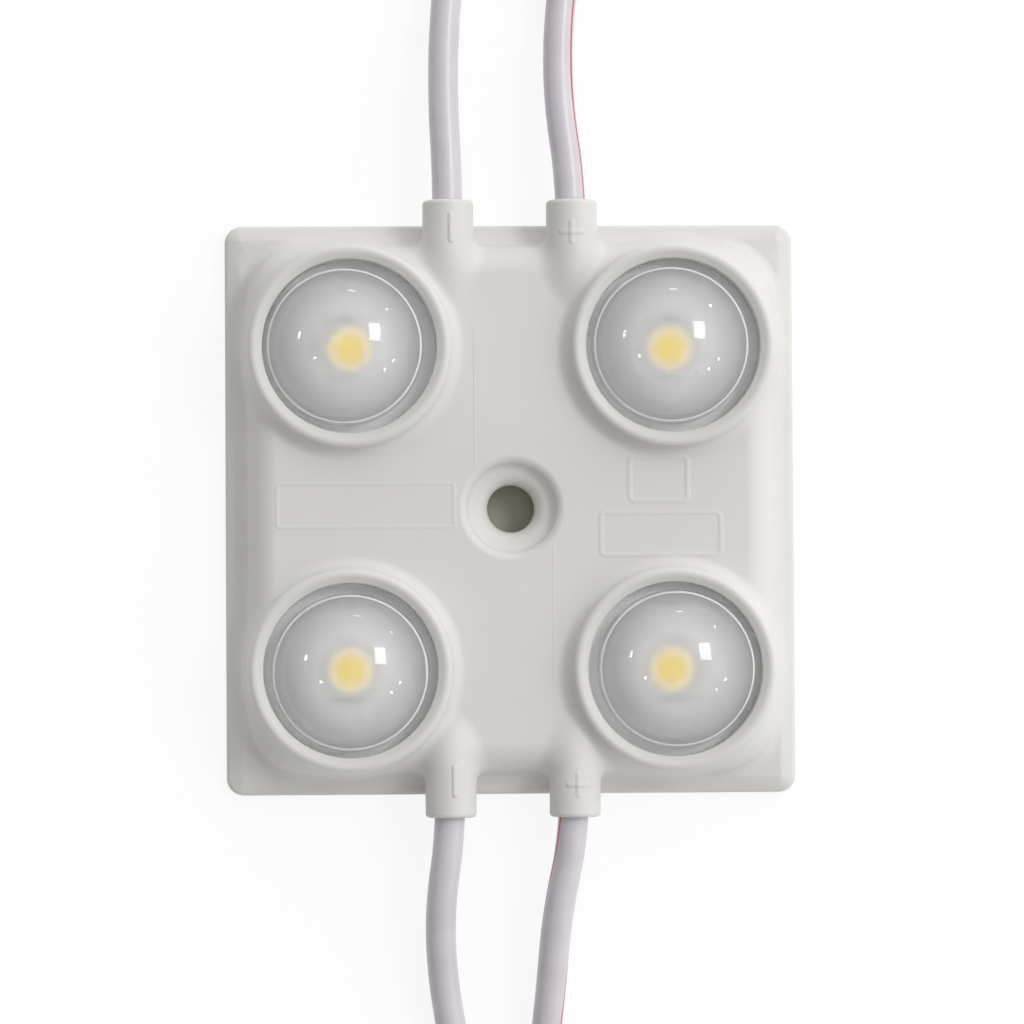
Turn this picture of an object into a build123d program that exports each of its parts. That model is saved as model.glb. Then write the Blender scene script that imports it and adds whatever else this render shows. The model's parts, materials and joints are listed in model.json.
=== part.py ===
from build123d import *
import os
from math import atan2, cos, pi, radians, sin, tan

# A 12 V light module: one white plastic body moulded round a small metal-backed board,
# with four clear lenses in raised collars, a countersunk screw hole in the middle
# and a pair of leads leaving at each end through moulded glands.
# Millimetres. +Z points out of the lit face, +Y along the leads, +X across them.
# The origin is the middle of the back face. Corners are numbered in reading order,
# seen from the lit side with +Y up: 1 upper left, 2 upper right, 3 lower left, 4 lower right.

# Moulded body: a low flange all round, whose top falls away outwards, and a deck with steep sides
# and a wide, round edge. The collars' feet stand out past the foot of the deck.
body_corner_radius = 1.1
flange_height = 1.3
flange_margin = 1.0
flange_bevel_run = 0.95
flange_bevel_fall = 0.4
flange_edge_rounding = 0.25
deck_height = 3.7
deck_inset = 0.3
deck_draft_angle = 8.0
deck_corner_radius = 3.6
deck_edge_rounding = 1.6
deck_foot_rounding = 0.3

# Raised collar round each lens. Its wall is widest at the foot, on the flange,
# and its top falls from the crest towards the lens.
lens_pitch = 20.3
collar_rise = 1.3
collar_foot_wall = 1.4
collar_draft_angle = 8.0
collar_bevel_angle = 22.0
collar_crest_rounding = 0.35
collar_foot_rounding = 0.3
collar_lens_gap = 0.5

# Screw hole with its recess for the screw's head. The recess's floor falls towards the hole.
screw_hole_radius = 1.5
screw_hole_rounding = 0.7
recess_radius = 2.88
recess_depth = 0.8
recess_draft_angle = 12.0
recess_floor_angle = 16.0
recess_edge_rounding = 0.45
recess_floor_rounding = 0.3
screw_hole_lining = 0.9

# Glands that the leads come out of
gland_radius = 1.6
gland_axis_height = 2.85
gland_reach = 1.4
gland_mouth_rounding = 0.25
gland_barrel_length = 2.9
gland_nose_length = 3.4
gland_nose_tip_radius = 0.45

# Circuit board, with an aluminium core, and the plastic rim round it
board_rim = 2.5
board_corner_radius = 1.0
board_thickness = 1.0

# Clear lens: a foot on the board, a flange held under the collar, a barrel and a dome
lens_foot_radius = 5.1
lens_foot_height = 1.6
lens_flange_lap = 0.45
lens_flange_thickness = 0.8
lens_barrel_foot_radius = 4.95
lens_barrel_radius = 4.85
lens_barrel_height = 1.1
lens_dome_rise = 2.45
lens_cavity_radius = 3.7
lens_cavity_rise = 2.2
lens_drift = [(-0.30, 0.01), (-0.11, 0.04), (-0.02, -0.12), (0.14, 0.01)]

# Pins under each lens that place it on the board
lens_pin_count = 3
lens_pin_radius = 0.4
lens_pin_circle_radius = 4.2
lens_pin_length = 0.8
lens_pin_clearance = 0.05

# Surface-mounted light source
led_length = 3.5
led_width = 2.8
led_body_height = 0.65
led_corner_radius = 0.2
led_window_radius = 1.15
led_window_depth = 0.4
led_window_draft_angle = 18.0
led_terminal_thickness = 0.15
led_terminal_width = 2.1
led_cathode_length = 2.3
led_anode_length = 0.9
led_terminal_overhang = 0.1

# Chip resistors, in two pairs beside the screw hole
resistor_length = 3.2
resistor_width = 1.6
resistor_height = 0.55
resistor_cap_length = 0.5
resistor_cap_step = 0.05
resistor_offset = 9.2
resistor_spacing = 3.0

# Polarity diode
diode_length = 2.7
diode_width = 1.6
diode_height = 1.1
diode_draft_angle = 7.0
diode_lead_reach = 0.5
diode_lead_width = 0.6
diode_lead_thickness = 0.15
diode_offset = 7.6

# Leads. Inside the body the bare conductor goes straight on from its jacket, slopes down
# to the board and runs along it to the middle of its solder joint.
lead_radius = 0.95
conductor_radius = 0.45
jacket_bore_clearance = 0.03
jacket_start_inset = 2.1
strip_length = 5.0
conductor_straight_run = 1.1
conductor_slope_run = 1.7
conductor_board_run = 1.3
conductor_pad_gap = 0.05
solder_radius = 1.0
solder_height = 1.0
solder_lens_gap = 0.15
arc_share_of_run = 0.45

# Collars and lenses, worked out from their walls and gaps
half_pitch = lens_pitch / 2
collar_spread = tan(radians(collar_draft_angle))
collar_opening_radius = lens_barrel_foot_radius + collar_lens_gap
collar_foot_radius = collar_opening_radius + collar_foot_wall
collar_deck_radius = collar_foot_radius - (deck_height - flange_height) * collar_spread
collar_crest_radius = collar_deck_radius - collar_rise * collar_spread
collar_height = deck_height + collar_rise
collar_bevel = collar_crest_radius - collar_opening_radius
collar_rim_height = collar_height - collar_bevel * tan(radians(collar_bevel_angle))
lens_flange_radius = collar_opening_radius + lens_flange_lap
board_top = board_thickness
flange_top_of_lens = board_top + lens_foot_height + lens_flange_thickness

# The body reaches a flange's margin past the collars, and the board fills it up to its rim
half_body = half_pitch + collar_foot_radius + flange_margin
body_side = 2 * half_body
board_side = body_side - 2 * board_rim

# The glands stand as near to the lenses as their solder joints allow
gland_offset = half_pitch - lens_foot_radius - solder_radius - solder_lens_gap
corners = [(-1, 1), (1, 1), (-1, -1), (1, -1)]
on_floor = (Align.CENTER, Align.CENTER, Align.MIN)

# Routes of the leads beyond the point where they leave the jacket's start, chosen by eye.
# Each point is (sideways, ahead, height): sideways from the gland's axis, ahead of its mouth.
lead_routes = [
    [(0.0, 1.2, gland_axis_height), (-0.27, 6.4, 2.25), (-0.14, 11.7, 1.35), (0.55, 17.7, lead_radius),
     (1.1, 25.4, lead_radius), (0.5, 33.3, lead_radius), (-1.9, 40.6, lead_radius),
     (-3.2, 47.7, lead_radius)],
    [(0.0, 0.9, gland_axis_height), (-0.80, 6.6, 2.25), (-0.66, 12.2, 1.35), (0.35, 18.3, lead_radius),
     (0.9, 26.0, lead_radius), (2.7, 33.4, lead_radius), (3.0, 41.2, lead_radius),
     (1.2, 48.4, lead_radius)],
    [(0.0, 0.8, gland_axis_height), (0.78, 6.0, 2.25), (0.46, 11.2, 1.35), (-0.75, 17.0, lead_radius),
     (-1.1, 24.7, lead_radius), (0.4, 32.2, lead_radius), (0.9, 40.0, lead_radius),
     (-0.9, 47.3, lead_radius)],
    [(0.0, 0.8, gland_axis_height), (1.17, 6.2, 2.25), (1.60, 11.7, 1.35), (2.35, 17.6, lead_radius),
     (1.9, 25.3, lead_radius), (-0.3, 32.6, lead_radius), (-1.2, 40.3, lead_radius),
     (-3.9, 47.2, lead_radius)],
]


def profile_solid(points):
    """Turns a closed outline of (radius, height) points about the Z axis."""
    return revolve(Plane.XZ * make_face(Polyline(*points, close=True)), Axis.Z)


def at_corner(index):
    """The nominal place of a lens."""
    side, end = corners[index]
    return Pos(side * half_pitch, end * half_pitch, 0)


def at_lens(index):
    """Where a lens really sits, a little off its opening's middle."""
    shift_x, shift_y = lens_drift[index]
    return at_corner(index) * Pos(shift_x, shift_y, 0)


def gland_place(index):
    """A frame with its origin in the mouth of a gland, and Y pointing out of it."""
    side, end = corners[index]
    turn = 0 if end > 0 else 180
    return Pos(side * gland_offset, end * (half_body + gland_reach), 0) * Rot(0, 0, turn)


# Body

def flanged_deck():
    """The low flange with the deck on it, before collars and glands."""
    flange = extrude(RectangleRounded(body_side, body_side, body_corner_radius), flange_height)
    top = flange.faces().sort_by(Axis.Z)[-1]
    flange = chamfer(top.edges(), flange_bevel_run, flange_bevel_fall, reference=top)
    edge_height = flange_height - flange_bevel_fall
    flange = fillet(flange.edges().filter_by_position(Axis.Z, edge_height, edge_height), flange_edge_rounding)
    foot_side = body_side - 2 * (flange_margin + deck_inset)
    foot = Pos(0, 0, flange_height) * RectangleRounded(foot_side, foot_side, deck_corner_radius)
    deck = flange + extrude(foot, deck_height - flange_height, taper=deck_draft_angle)
    deck = fillet(deck.faces().sort_by(Axis.Z)[-1].outer_wire().edges(), deck_edge_rounding)
    margins = deck.faces().filter_by(Axis.Z).filter_by_position(Axis.Z, flange_height, flange_height)
    return fillet(margins[0].inner_wires()[0].edges(), deck_foot_rounding)


def collar():
    """One collar, from the flange up to its crest, without its opening."""
    ring = profile_solid([(0, flange_height), (collar_foot_radius, flange_height),
                          (collar_crest_radius, collar_height), (collar_opening_radius, collar_rim_height),
                          (0, collar_rim_height)])
    return fillet(ring.edges().sort_by(Axis.Z)[-1], collar_crest_rounding)


def collar_opening():
    """The round well over a lens."""
    well = Cylinder(collar_opening_radius, collar_height - flange_top_of_lens, align=on_floor)
    return Pos(0, 0, flange_top_of_lens) * well


def gland():
    """One gland: a barrel out past the flange, and a bullet nose that runs down into the deck."""
    start = -gland_barrel_length
    tip = start - gland_nose_length
    outline = Polyline((0, tip), (0, 0), (gland_radius, 0), (gland_radius, start))
    outline += TangentArc((gland_radius, start), (gland_nose_tip_radius, tip), tangent=(0, -1))
    outline += Line((gland_nose_tip_radius, tip), (0, tip))
    barrel = revolve(make_face(outline.edges()), Axis.Y)
    barrel = fillet(barrel.edges().sort_by(Axis.Y)[-1], gland_mouth_rounding)
    return Pos(0, 0, gland_axis_height) * barrel


def circles_of(shape, radius, height):
    """The round edges of one radius that lie at one height."""
    return [edge for edge in shape.edges().filter_by(GeomType.CIRCLE)
            if abs(edge.radius - radius) < 1e-3 and abs(edge.arc_center.Z - height) < 1e-3]


def screw_recess():
    """The stepped hole in the middle, down to the back face."""
    floor = deck_height - recess_depth
    floor_radius = recess_radius - recess_depth * tan(radians(recess_draft_angle))
    hole_top = floor - (floor_radius - screw_hole_radius) * tan(radians(recess_floor_angle))
    recess = profile_solid([(0, 0), (screw_hole_radius, 0), (screw_hole_radius, hole_top),
                            (floor_radius, floor), (recess_radius, deck_height), (0, deck_height)])
    recess = fillet(circles_of(recess, floor_radius, floor), recess_floor_rounding)
    return fillet(circles_of(recess, screw_hole_radius, hole_top), screw_hole_rounding)


def outer_body():
    """Everything of the body that is seen from outside, with no pockets in it."""
    body = flanged_deck()
    for index in range(len(corners)):
        body += at_corner(index) * collar()
    body = fillet(circles_of(body, collar_deck_radius, deck_height), collar_foot_rounding)
    for index in range(len(corners)):
        body += gland_place(index) * gland()
    body -= screw_recess()
    return fillet(circles_of(body, recess_radius, deck_height), recess_edge_rounding)


def housing(enclosed):
    """The body, moulded round everything that it holds."""
    body = outer_body()
    for index in range(len(corners)):
        body -= at_corner(index) * collar_opening()
    for piece in enclosed:
        body -= piece
    return body


# Board

def board_space():
    """What the board fills in the body: its outline, with the lined screw hole left out."""
    board = extrude(RectangleRounded(board_side, board_side, board_corner_radius), board_thickness)
    return board - extrude(Circle(screw_hole_radius + screw_hole_lining), board_thickness)


def circuit_board():
    board = board_space()
    pin_hole = Cylinder(lens_pin_radius + lens_pin_clearance, board_thickness, align=on_floor)
    for index in range(len(corners)):
        for place in PolarLocations(lens_pin_circle_radius, lens_pin_count):
            board -= at_lens(index) * place * pin_hole
    return board


# Lens

def capped_profile(points, radius, height, rise):
    """A solid of revolution: straight sides down to the axis, closed by a round cap on top."""
    foot = points[-1][1] if points else height
    outline = Polyline((0, height + rise), (0, foot), *reversed(points), (radius, height))
    outline += cap_arc(radius, height, rise)
    return revolve(Plane.XZ * make_face(outline.edges()), Axis.Z)


def lens_space():
    """What a lens fills in the body, cavity and all, on the lens's own axis."""
    flange_low = board_top + lens_foot_height
    sides = [(lens_barrel_foot_radius, flange_top_of_lens), (lens_flange_radius, flange_top_of_lens),
             (lens_flange_radius, flange_low), (lens_foot_radius, flange_low), (lens_foot_radius, board_top)]
    return capped_profile(sides, lens_barrel_radius, flange_top_of_lens + lens_barrel_height, lens_dome_rise)


def lens_cavity():
    """The round hollow over the light source."""
    return Pos(0, 0, board_top) * capped_profile([], lens_cavity_radius, 0, lens_cavity_rise)


def lens():
    """One clear lens, standing on the board, with the pins that place it."""
    body = lens_space() - lens_cavity()
    pin = Cylinder(lens_pin_radius, lens_pin_length, align=on_floor)
    pin = Pos(0, 0, board_top - lens_pin_length) * pin
    for place in PolarLocations(lens_pin_circle_radius, lens_pin_count):
        body += place * pin
    return body


def cap_arc(radius, height, rise):
    """Half of a round cap's profile, from its rim at (radius, height) up to the axis."""
    sphere_radius = (radius * radius + rise * rise) / (2 * rise)
    middle_angle = atan2(radius, sphere_radius - rise) / 2
    centre = height + rise - sphere_radius
    middle = (sphere_radius * sin(middle_angle), centre + sphere_radius * cos(middle_angle))
    return ThreePointArc((radius, height), middle, (0, height + rise))


# Light source

def led_terminals():
    """The two flat metal pads under a light source."""
    length = led_length + 2 * led_terminal_overhang
    cathode = Box(led_cathode_length, led_terminal_width, led_terminal_thickness,
                  align=(Align.MIN, Align.CENTER, Align.MIN))
    anode = Box(led_anode_length, led_terminal_width, led_terminal_thickness,
                align=(Align.MAX, Align.CENTER, Align.MIN))
    return Pos(-length / 2, 0, board_top) * cathode + Pos(length / 2, 0, board_top) * anode


def led_window():
    """The cup in the top of a light source, which the phosphor fills."""
    top = board_top + led_terminal_thickness + led_body_height
    low_radius = led_window_radius - led_window_depth * tan(radians(led_window_draft_angle))
    return profile_solid([(0, top - led_window_depth), (low_radius, top - led_window_depth),
                          (led_window_radius, top), (0, top)])


def led_package():
    body = extrude(RectangleRounded(led_length, led_width, led_corner_radius), led_body_height)
    return Pos(0, 0, board_top + led_terminal_thickness) * body - led_window()


# Small parts on the board

def resistor():
    """A chip resistor with its two end caps, which stand a little proud of the body."""
    core_length = resistor_length - 2 * resistor_cap_length
    cap = Box(resistor_cap_length, resistor_width, resistor_height,
              align=(Align.MIN, Align.CENTER, Align.MIN))
    core = Box(core_length, resistor_width - 2 * resistor_cap_step, resistor_height - 2 * resistor_cap_step,
               align=on_floor)
    ends = Pos(core_length / 2, 0, 0) * cap + Pos(-core_length / 2, 0, 0) * Rot(0, 0, 180) * cap
    return Pos(0, 0, board_top) * (ends + Pos(0, 0, resistor_cap_step) * core)


def resistor_places():
    """Two on each side of the screw hole, one above the other."""
    return [Pos(side * resistor_offset, row * resistor_spacing / 2, 0) for side, row in corners]


def diode():
    """A moulded diode with a flat lead at each end."""
    shell = extrude(Rectangle(diode_length, diode_width), diode_height, taper=diode_draft_angle)
    reach = diode_length + 2 * diode_lead_reach
    strip = Box(reach, diode_lead_width, diode_lead_thickness, align=on_floor)
    return Pos(0, diode_offset, board_top) * (shell + strip)


# Leads

def corner_radius(before, corner, after):
    """The largest round that the two runs beside a corner allow."""
    arriving = Vector(*corner) - Vector(*before)
    leaving = Vector(*after) - Vector(*corner)
    half_turn = radians(arriving.get_angle(leaving)) / 2
    return arc_share_of_run * min(arriving.length, leaving.length) / tan(half_turn)


def smooth_path(points):
    """Straight runs joined by arcs, each as large as its runs allow, with the arcs' radii."""
    radii = [corner_radius(*points[i:i + 3]) for i in range(len(points) - 2)]
    return FilletPolyline(*points, radius=radii), radii


jacket_start = -(gland_reach + jacket_start_inset)
slope_top = jacket_start - conductor_straight_run
slope_foot = slope_top - conductor_slope_run
solder_middle = slope_foot - conductor_board_run


def route_points(index, past_end):
    """A lead's corners in its gland's frame, with the last run lengthened by past_end."""
    points = [Vector(0, jacket_start, gland_axis_height)]
    points += [Vector(*point) for point in lead_routes[index]]
    last_run = (points[-1] - points[-2]).normalized()
    points[-1] = points[-1] + last_run * past_end
    return points


def inner_run():
    """The conductor's way from the solder joint up to the jacket, in its gland's frame."""
    low = board_top + conductor_pad_gap + conductor_radius
    return [Vector(0, solder_middle - conductor_radius, low),
            Vector(0, slope_foot, low),
            Vector(0, slope_top, gland_axis_height)]


def swept(section, path):
    """Carries a round section along a path that starts along Y."""
    start = Plane(origin=path @ 0, z_dir=path % 0)
    return sweep(start * section, path=path)


def jacket(index):
    """The plastic tube of a lead, from inside its gland to where the end is stripped."""
    path, radii = smooth_path(route_points(index, 0))
    bore_radius = conductor_radius + jacket_bore_clearance
    tube = swept(Circle(lead_radius) - Circle(bore_radius), path)
    free_length = path.length - gland_reach - jacket_start_inset
    fill = tube.volume / (pi * (lead_radius ** 2 - bore_radius ** 2) * path.length)
    print(f"lead {index + 1}: {free_length:.2f} mm past the gland,",
          f"volume over section times length {fill:.4f},",
          "corner radii", [round(radius, 1) for radius in radii])
    return gland_place(index) * tube


def jacket_space(index):
    """What a jacket fills, bore and all: the body is moulded round this."""
    path, radii = smooth_path(route_points(index, 0))
    return gland_place(index) * swept(Circle(lead_radius), path)


def conductor(index):
    points = inner_run() + route_points(index, strip_length)[1:]
    path, radii = smooth_path(points)
    return gland_place(index) * swept(Circle(conductor_radius), path)


def solder_joint(index, wire):
    """A rounded joint on its pad, with the conductor's end in it."""
    mound = capped_profile([], solder_radius, 0, solder_height)
    return gland_place(index) * Pos(0, solder_middle, board_top) * mound - wire


# Build and write every piece

pieces = {"circuit_board": circuit_board()}
wires = [conductor(index) for index in range(len(corners))]
for index, wire in enumerate(wires):
    number = index + 1
    pieces[f"lens_{number}"] = at_lens(index) * lens()
    pieces[f"led_package_{number}"] = at_corner(index) * led_package()
    pieces[f"led_phosphor_{number}"] = at_corner(index) * led_window()
    pieces[f"led_terminals_{number}"] = at_corner(index) * led_terminals()
    pieces[f"resistor_{number}"] = resistor_places()[index] * resistor()
    pieces[f"solder_joint_{number}"] = solder_joint(index, wire)
    pieces[f"conductor_{number}"] = wire
    pieces[f"lead_jacket_{number}"] = jacket(index)
pieces["polarity_diode"] = diode()

spaces = [board_space(), pieces["polarity_diode"]]
for index in range(len(corners)):
    number = index + 1
    spaces += [at_lens(index) * lens_space(), jacket_space(index)]
    spaces += [pieces[f"{name}_{number}"] for name in ("resistor", "solder_joint", "conductor")]
pieces["housing"] = housing(spaces)

os.makedirs("parts", exist_ok=True)
for name, piece in pieces.items():
    export_step(piece, f"parts/{name}.step")
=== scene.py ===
import json
from math import asin, atan2, cos, pi, radians, sin, tan

import bpy
import numpy as np
from mathutils import Euler, Matrix, Vector

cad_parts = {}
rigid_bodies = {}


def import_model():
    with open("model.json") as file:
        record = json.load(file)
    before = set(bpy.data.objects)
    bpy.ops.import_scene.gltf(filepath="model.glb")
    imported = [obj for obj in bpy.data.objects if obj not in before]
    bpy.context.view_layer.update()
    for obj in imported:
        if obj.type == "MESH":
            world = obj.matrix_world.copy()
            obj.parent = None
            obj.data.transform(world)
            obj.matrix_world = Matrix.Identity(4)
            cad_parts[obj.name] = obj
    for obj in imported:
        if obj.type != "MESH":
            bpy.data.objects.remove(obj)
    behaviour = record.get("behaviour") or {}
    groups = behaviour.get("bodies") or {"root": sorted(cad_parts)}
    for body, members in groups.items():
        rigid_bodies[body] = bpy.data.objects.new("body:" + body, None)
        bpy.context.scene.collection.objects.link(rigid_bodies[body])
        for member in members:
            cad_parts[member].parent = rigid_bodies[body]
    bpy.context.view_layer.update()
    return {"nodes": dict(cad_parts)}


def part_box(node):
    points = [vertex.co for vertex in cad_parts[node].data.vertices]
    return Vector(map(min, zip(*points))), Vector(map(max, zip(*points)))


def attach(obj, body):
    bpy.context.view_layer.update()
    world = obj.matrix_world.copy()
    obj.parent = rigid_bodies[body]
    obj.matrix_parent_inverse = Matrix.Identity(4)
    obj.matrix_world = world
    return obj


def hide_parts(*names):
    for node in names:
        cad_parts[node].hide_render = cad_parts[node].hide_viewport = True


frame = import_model()
nodes = frame["nodes"]
mm = 0.001


# Circuit board
# An aluminium plate 1 mm thick. Its lit side is coated with white lacquer over thin copper,
# its back and its cut edges are bare, brushed metal. The body is moulded round it.

def new_material(name):
    """A material with its node tree and its main shader."""
    material = bpy.data.materials.new(name)
    material.use_nodes = True
    return material, material.node_tree, material.node_tree.nodes["Principled BSDF"]


def fill(tree, node, inputs):
    """Gives a node's inputs their values, or links them to the outputs named."""
    for name, value in inputs.items():
        if isinstance(value, bpy.types.NodeSocket):
            tree.links.new(value, node.inputs[name])
        else:
            node.inputs[name].default_value = value
    return node


def put(tree, kind, inputs=None, **settings):
    """Adds one node, with its settings and its inputs."""
    node = tree.nodes.new(kind)
    for name, value in settings.items():
        setattr(node, name, value)
    return fill(tree, node, inputs or {})


def calculate(tree, operation, *values):
    """The result of a math node on values or outputs."""
    node = put(tree, "ShaderNodeMath", operation=operation)
    return fill(tree, node, dict(enumerate(values))).outputs[0]


def between(tree, value, low, high):
    """0 below low, 1 above high, and a smooth rise from one to the other."""
    node = put(tree, "ShaderNodeMapRange", {"Value": value, "From Min": low, "From Max": high},
               interpolation_type="SMOOTHSTEP")
    return node.outputs["Result"]


def blend_colours(tree, share, first, second):
    """The first colour, turning into the second where share is 1."""
    node = put(tree, "ShaderNodeMix", data_type="RGBA")
    for socket, value in zip((node.inputs[0], node.inputs[6], node.inputs[7]), (share, first, second)):
        if isinstance(value, bpy.types.NodeSocket):
            tree.links.new(value, socket)
        else:
            socket.default_value = value
    return node.outputs[2]


def blend_values(tree, share, first, second):
    """The first value, turning into the second where share is 1."""
    node = put(tree, "ShaderNodeMapRange", {"Value": share, "To Min": first, "To Max": second})
    return node.outputs["Result"]


def place(tree):
    """The point being shaded, in the object's own frame."""
    return put(tree, "ShaderNodeTexCoord").outputs["Object"]


def effect_group(name, inputs, outputs):
    """An empty shader group with named sockets, its tree, and the sockets' ends inside it."""
    tree = bpy.data.node_groups.new(name, "ShaderNodeTree")
    for socket_name, kind, value in inputs:
        socket = tree.interface.new_socket(socket_name, in_out="INPUT", socket_type=kind)
        socket.default_value = value
    for socket_name, kind in outputs:
        tree.interface.new_socket(socket_name, in_out="OUTPUT", socket_type=kind)
    start = put(tree, "NodeGroupInput").outputs
    end = put(tree, "NodeGroupOutput")
    return tree, start, end


def use_effect(tree, group, **inputs):
    """Places an effect in a material. Underscores in the inputs' names stand for spaces."""
    node = put(tree, "ShaderNodeGroup", node_tree=group)
    return fill(tree, node, {name.replace("_", " "): value for name, value in inputs.items()}).outputs


def brushed_grain():
    """Fine parallel scratches along X, as on brushed sheet metal."""
    tree, start, end = effect_group(
        "brushed grain",
        [("Scratches per Metre", "NodeSocketFloat", 9000.0), ("Length", "NodeSocketFloat", 40.0)],
        [("Scratch", "NodeSocketFloat"), ("Patch", "NodeSocketFloat")])
    along = calculate(tree, "DIVIDE", 1.0, start["Length"])
    stretch = put(tree, "ShaderNodeCombineXYZ", {"X": along, "Y": 1.0, "Z": 1.0}).outputs["Vector"]
    stretched = put(tree, "ShaderNodeVectorMath", {0: place(tree), 1: stretch}, operation="MULTIPLY")
    scratch = put(tree, "ShaderNodeTexNoise", {
        "Vector": stretched.outputs["Vector"], "Scale": start["Scratches per Metre"], "Detail": 3.0})
    patch = put(tree, "ShaderNodeTexNoise", {"Vector": place(tree), "Scale": 260.0, "Detail": 2.0})
    fill(tree, end, {"Scratch": scratch.outputs["Fac"], "Patch": patch.outputs["Fac"]})
    return tree


brushed = brushed_grain()


board_top = 1.0
lacquer_thickness = 0.05


def board_material():
    """White lacquer on the lit side, and brushed metal elsewhere."""
    material, tree, surface = new_material("lacquered aluminium board")
    height = put(tree, "ShaderNodeSeparateXYZ", {"Vector": place(tree)}).outputs["Z"]
    lacquer_foot = board_top - lacquer_thickness
    lacquered = between(tree, height, (lacquer_foot - 0.02) * mm, (lacquer_foot + 0.02) * mm)
    grain = use_effect(tree, brushed)
    scratch = blend_colours(tree, grain["Scratch"], (0.52, 0.52, 0.53, 1), (0.78, 0.78, 0.78, 1))
    lacquer = blend_colours(tree, grain["Patch"], (0.88, 0.88, 0.87, 1), (0.92, 0.92, 0.91, 1))
    bump = put(tree, "ShaderNodeBump", {"Height": grain["Scratch"], "Distance": 0.004 * mm, "Strength": 0.4})
    fill(tree, surface, {
        "Base Color": blend_colours(tree, lacquered, scratch, lacquer),
        "Metallic": calculate(tree, "SUBTRACT", 1.0, lacquered),
        "Roughness": blend_values(tree, lacquered, 0.34, 0.42),
        "Normal": bump.outputs["Normal"],
    })
    return material


def dress(node, material):
    """Gives a piece of the frame its finish."""
    nodes[node].data.materials.clear()
    nodes[node].data.materials.append(material)


dress("circuit_board", board_material())


# Light sources
# A white moulded cup on two plated pads, soldered to the board, with its well filled with
# yellow phosphor in silicone. One stands under each lens.

def moulded_skin():
    """The faint unevenness of moulded plastic: slow waves in tone, and a fine eroded grain."""
    tree, start, end = effect_group(
        "moulded skin",
        [("Grain Size", "NodeSocketFloat", 0.05 * mm), ("Wave Size", "NodeSocketFloat", 6 * mm)],
        [("Tone", "NodeSocketFloat"), ("Grain", "NodeSocketFloat"), ("Relief", "NodeSocketFloat")])
    spot = place(tree)
    tone = put(tree, "ShaderNodeTexNoise", {
        "Vector": spot, "Scale": calculate(tree, "DIVIDE", 1.0, start["Wave Size"]), "Detail": 3.0})
    grain = put(tree, "ShaderNodeTexNoise", {
        "Vector": spot, "Scale": calculate(tree, "DIVIDE", 1.0, start["Grain Size"]), "Detail": 2.0,
        "Roughness": 0.55})
    wave = calculate(tree, "MULTIPLY", tone.outputs["Fac"], 1.6)
    relief = calculate(tree, "ADD", grain.outputs["Fac"], wave)
    fill(tree, end, {"Tone": tone.outputs["Fac"], "Grain": grain.outputs["Fac"], "Relief": relief})
    return tree


moulded = moulded_skin()


def cup_material():
    """White moulded plastic, satin, between two near tones."""
    material, tree, surface = new_material("white cup plastic")
    skin = use_effect(tree, moulded, Grain_Size=0.05 * mm, Wave_Size=6 * mm)
    bump = put(tree, "ShaderNodeBump", {"Height": skin["Relief"], "Distance": 0.002 * mm, "Strength": 1.0})
    tone = between(tree, skin["Tone"], 0.3, 0.7)
    fill(tree, surface, {
        "Base Color": blend_colours(tree, tone, (0.84, 0.83, 0.80, 1), (0.88, 0.87, 0.85, 1)),
        "Roughness": blend_values(tree, skin["Grain"], 0.40, 0.50),
        "Normal": bump.outputs["Normal"],
    })
    return material


def metal(name, dark, light, roughness, relief=0.002):
    """A bright metal with fine scratches."""
    material, tree, surface = new_material(name)
    grain = use_effect(tree, brushed, Length=6.0)
    bump = put(tree, "ShaderNodeBump", {"Height": grain["Scratch"], "Distance": relief * mm, "Strength": 0.6})
    fill(tree, surface, {
        "Base Color": blend_colours(tree, grain["Patch"], dark, light),
        "Metallic": 1.0,
        "Roughness": blend_values(tree, grain["Scratch"], roughness - 0.08, roughness + 0.08),
        "Normal": bump.outputs["Normal"],
    })
    return material


cup_plastic = cup_material()
pad_metal = metal("plated pads", (0.72, 0.72, 0.74, 1), (0.86, 0.86, 0.87, 1), 0.25)
half_pitch = 10.15
phosphor_deep_radius, phosphor_radius = 0.5, 0.95


def phosphor_material():
    """Yellow where the silicone is deep, over the chip, and paler where it thins out to the cup's wall, with
    a faint painted glow though the light is off.
    """
    material, tree, surface = new_material("yellow phosphor")
    spot = put(tree, "ShaderNodeSeparateXYZ", {"Vector": place(tree)}).outputs
    squares = []
    for axis in "XY":
        away = calculate(tree, "SUBTRACT", calculate(tree, "ABSOLUTE", spot[axis]), half_pitch * mm)
        squares.append(calculate(tree, "MULTIPLY", away, away))
    from_middle = calculate(tree, "SQRT", calculate(tree, "ADD", *squares))
    shallow = between(tree, from_middle, phosphor_deep_radius * mm, phosphor_radius * mm)
    skin = use_effect(tree, moulded, Grain_Size=0.02 * mm, Wave_Size=0.4 * mm)
    deep = blend_colours(tree, skin["Tone"], (0.96, 0.66, 0.01, 1), (1.0, 0.75, 0.02, 1))
    bump = put(tree, "ShaderNodeBump", {"Height": skin["Relief"], "Distance": 0.004 * mm, "Strength": 1.0})
    fill(tree, surface, {
        "Base Color": blend_colours(tree, shallow, deep, (0.93, 0.88, 0.74, 1)),
        "Roughness": blend_values(tree, skin["Grain"], 0.25, 0.35),
        # Painted glow: the unlit phosphor is given a faint yellow emission.
        "Emission Color": (1.0, 0.68, 0.02, 1),
        "Emission Strength": 0.3,
        "Normal": bump.outputs["Normal"],
    })
    return material


phosphor = phosphor_material()

for number in range(1, 5):
    dress(f"led_package_{number}", cup_plastic)
    dress(f"led_phosphor_{number}", phosphor)
    dress(f"led_terminals_{number}", pad_metal)


# Chip resistors and diode
# The resistors are glazed ceramic chips with plated ends. The diode is black moulded epoxy
# with a flat lead at each end. All are soldered to the board before it is moulded in.

plated_ends = (0.75, 0.75, 0.76, 1)


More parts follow.
